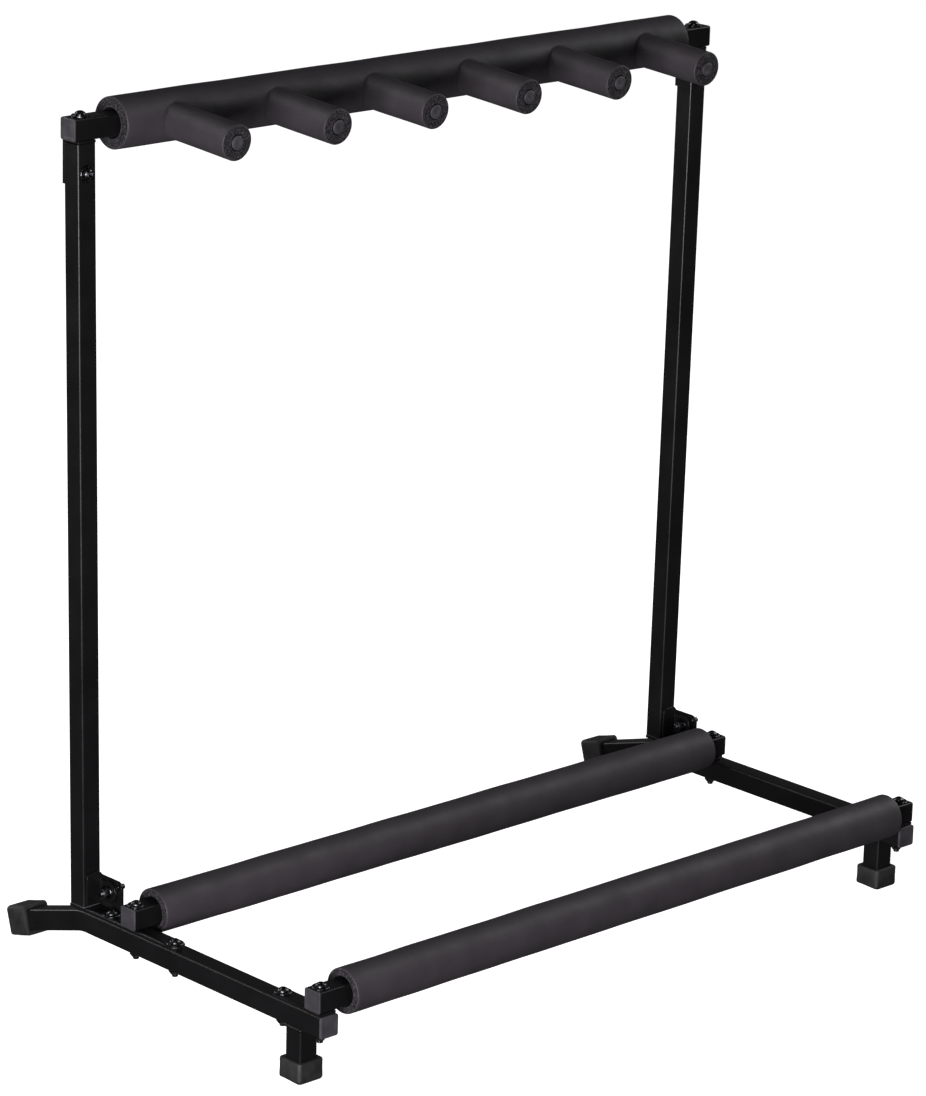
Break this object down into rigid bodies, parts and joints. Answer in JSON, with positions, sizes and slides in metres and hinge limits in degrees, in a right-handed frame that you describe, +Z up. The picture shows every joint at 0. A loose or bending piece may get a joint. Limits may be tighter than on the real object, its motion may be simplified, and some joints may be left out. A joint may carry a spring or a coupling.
{
  "type": "guitar rack",
  "caption": "Folding floor rack that holds guitars upright: a padded top rail with padded pegs keeps the necks apart, and two padded bottom rails carry the bodies.",
  "frame": {"origin": "On the floor, in the middle of the rack's outline seen from above.", "axes": "X runs along the rails, with the side frame that has the tie bolts at -X. The front, where the pegs point, is -Y. Z is up from the floor."},
  "size_m": [0.788, 0.4426, 0.8002],
  "materials": {
    "coated_steel": "satin",
    "foam": "matte",
    "rubber": "matte",
    "plug_plastic": "satin",
    "bolt_steel": "semi-gloss black",
    "nut_steel": "zinc plated"
  },
  "bodies": {
    "base": {"left_leg": "coated_steel", "right_leg": "coated_steel", "left_foot_post": "coated_steel", "right_foot_post": "coated_steel", "left_front_foot": "rubber", "right_front_foot": "rubber", "left_rear_foot": "rubber", "right_rear_foot": "rubber", "left_leg_plug": "plug_plastic", "right_leg_plug": "plug_plastic", "left_hinge_bracket": "coated_steel", "right_hinge_bracket": "coated_steel", "front_tie_plate": "coated_steel", "front_spacer": "coated_steel", "rear_rail": "coated_steel", "front_rail": "coated_steel", "rear_rail_plugs": "plug_plastic", "front_rail_plugs": "plug_plastic", "rear_foam": "foam", "front_foam": "foam", "rail_bolts": "bolt_steel", "tie_bolts": "bolt_steel", "base_washers": "nut_steel", "base_nuts": "nut_steel", "hinge_screws": "bolt_steel", "fold_stop_pins": "bolt_steel", "pivot_bolts": "bolt_steel", "pivot_washers": "nut_steel", "pivot_nuts": "nut_steel"},
    "upper_frame": {"left_upright": "coated_steel", "right_upright": "coated_steel", "left_upright_plug": "plug_plastic", "right_upright_plug": "plug_plastic", "left_hinge_leaf": "coated_steel", "right_hinge_leaf": "coated_steel", "left_top_bracket": "coated_steel", "right_top_bracket": "coated_steel", "top_rail": "coated_steel", "top_rail_plugs": "plug_plastic", "top_foam": "foam", "upper_bolts": "bolt_steel", "upper_washers": "nut_steel", "upper_nuts": "nut_steel", "peg_tube_1": "coated_steel", "peg_tube_2": "coated_steel", "peg_tube_3": "coated_steel", "peg_tube_4": "coated_steel", "peg_tube_5": "coated_steel", "peg_tube_6": "coated_steel", "peg_foam_1": "foam", "peg_foam_2": "foam", "peg_foam_3": "foam", "peg_foam_4": "foam", "peg_foam_5": "foam", "peg_foam_6": "foam", "peg_plugs": "plug_plastic"}
  },
  "joints": [
    {"name": "fold", "type": "hinge", "parent": "base", "child": "upper_frame", "pos_m": [0, 0.09997, 0.07535], "axis": [1, 0, 0], "range_deg": [0, 90]}
  ]
}
